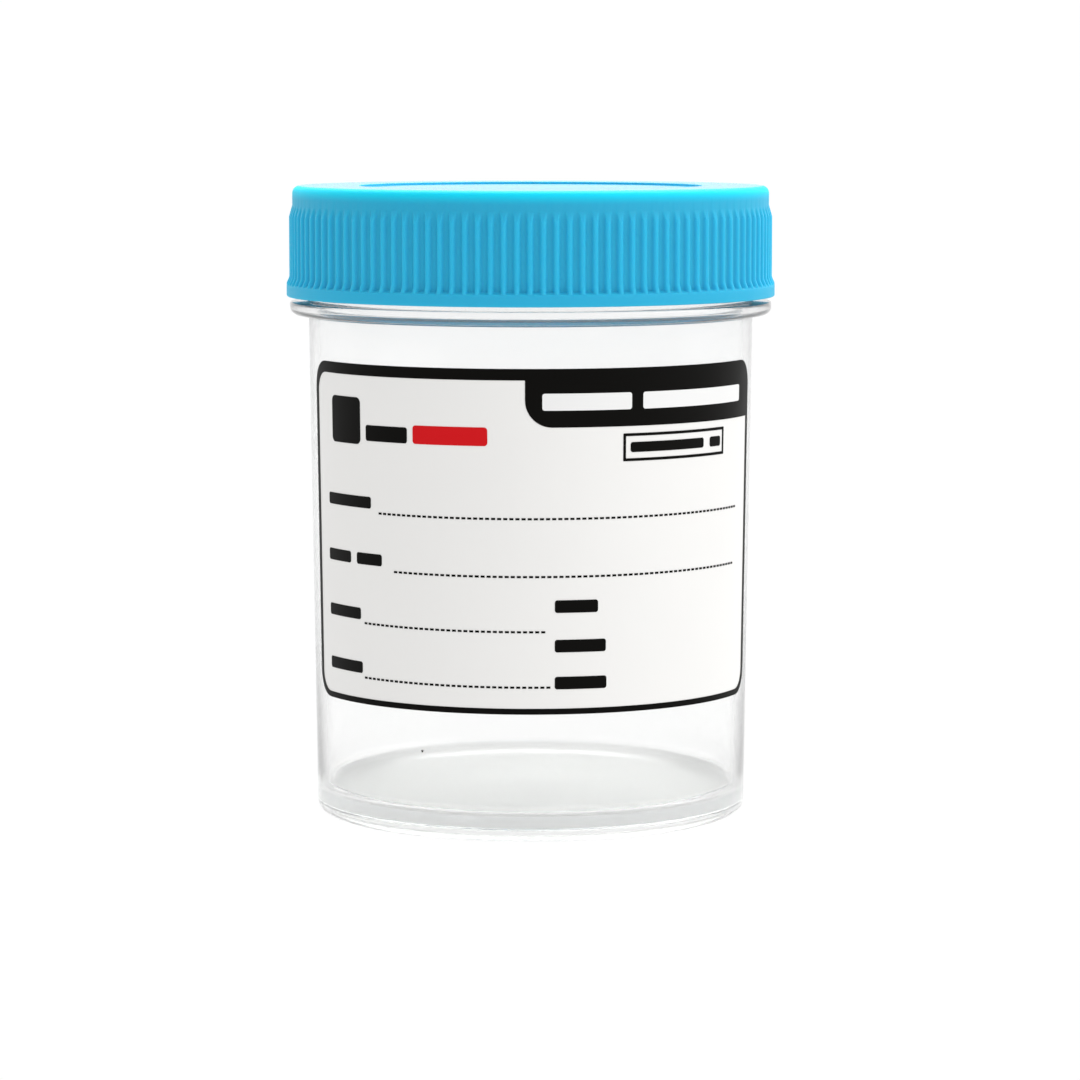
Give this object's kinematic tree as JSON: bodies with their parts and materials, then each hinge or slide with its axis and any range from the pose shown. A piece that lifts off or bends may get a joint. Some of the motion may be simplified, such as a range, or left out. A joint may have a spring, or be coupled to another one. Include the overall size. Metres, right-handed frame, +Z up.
{
  "type": "specimen container",
  "caption": "Round screw-lid specimen container: clear tapered cup with collar bead, ribbed sky-blue lid with plug seal, and a printed wrap-round label.",
  "frame": {"origin": "centre of the foot ring's resting circle, on the cup's axis", "axes": "+Z up along the cup's axis, -Y towards the middle of the label's front, +X to the right as the label is read"},
  "size_m": [0.06, 0.06, 0.0771],
  "materials": {
    "clear_plastic": "clear natural polypropylene, moulded smooth",
    "blue_plastic": "moulded sky-blue plastic, semi-gloss",
    "label_film": "white self-adhesive film, satin",
    "label_ink": "black printing ink on film, satin"
  },
  "bodies": {
    "container": {"container": "clear_plastic", "label": "label_film", "label_print": "label_ink"},
    "lid": {"lid": "blue_plastic"}
  },
  "joints": [
    {"name": "lid_lift", "type": "slide", "parent": "container", "child": "lid", "axis": [0, 0, 1], "range_m": [0, 0.04]}
  ]
}
